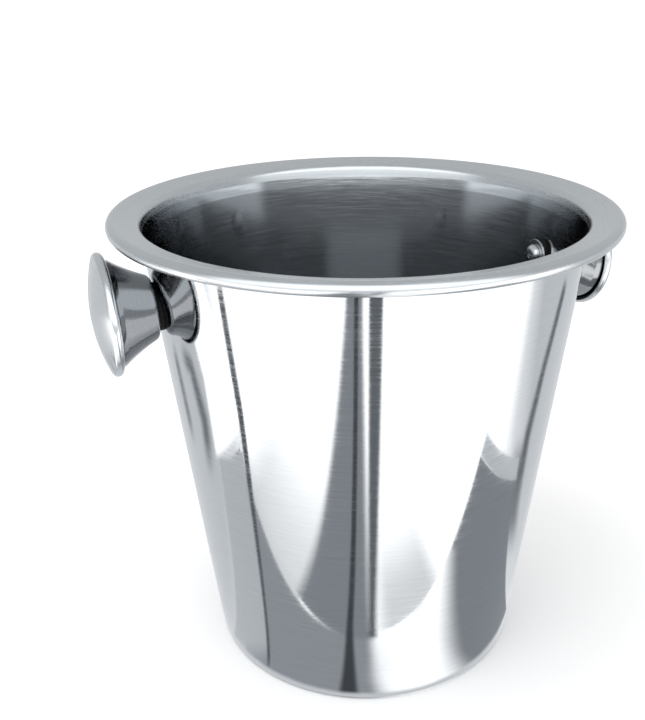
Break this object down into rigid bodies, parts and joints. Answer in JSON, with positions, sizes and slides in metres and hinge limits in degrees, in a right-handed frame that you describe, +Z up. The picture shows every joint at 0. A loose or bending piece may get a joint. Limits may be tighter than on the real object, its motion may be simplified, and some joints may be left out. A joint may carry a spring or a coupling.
{
  "type": "champagne bucket",
  "caption": "Tapered polished steel champagne bucket with a sloping rolled rim and a domed knob handle on each side.",
  "frame": {"origin": "centre of the underside of the base, on the bucket's axis, halfway between the two knobs", "axes": "+Z up along the bucket's axis, +X towards the right knob, -X towards the left knob, -Y towards the front"},
  "size_m": [0.2454, 0.2248, 0.2124],
  "materials": {
    "polished_steel": "mirror polished, faint brushing around the wall",
    "knob_steel": "polished to a soft shine",
    "fastener_steel": "bright plain steel",
    "black_rubber": "matt black"
  },
  "bodies": {
    "bucket": {"bucket_body": "polished_steel", "left_outer_gasket": "black_rubber", "left_inner_seal": "black_rubber", "left_inner_washer": "fastener_steel", "right_outer_gasket": "black_rubber", "right_inner_seal": "black_rubber", "right_inner_washer": "fastener_steel"},
    "left_knob": {"left_knob_cap": "knob_steel", "left_knob_neck": "knob_steel", "left_knob_insert": "fastener_steel"},
    "left_screw": {"left_knob_screw": "fastener_steel"},
    "right_knob": {"right_knob_cap": "knob_steel", "right_knob_neck": "knob_steel", "right_knob_insert": "fastener_steel"},
    "right_screw": {"right_knob_screw": "fastener_steel"}
  },
  "joints": [
    {"name": "left_knob_draw", "type": "slide", "parent": "bucket", "child": "left_knob", "axis": [-0.9993, 0, -0.0384], "range_m": [0, 0.004]},
    {"name": "left_screw_turn", "type": "hinge", "parent": "bucket", "child": "left_screw", "pos_m": [-0.09512, 0, 0.1779], "axis": [0.9993, 0, 0.0384], "range_deg": [0, 1800]},
    {"name": "right_knob_draw", "type": "slide", "parent": "bucket", "child": "right_knob", "axis": [0.9993, 0, -0.0384], "range_m": [0, 0.004]},
    {"name": "right_screw_turn", "type": "hinge", "parent": "bucket", "child": "right_screw", "pos_m": [0.09512, 0, 0.1779], "axis": [-0.9993, 0, 0.0384], "range_deg": [0, 1800]}
  ],
  "couplings": [
    {"joint": "left_screw_turn", "follows": "left_knob_draw", "rad_per_m": 7854},
    {"joint": "right_screw_turn", "follows": "right_knob_draw", "rad_per_m": 7854}
  ]
}
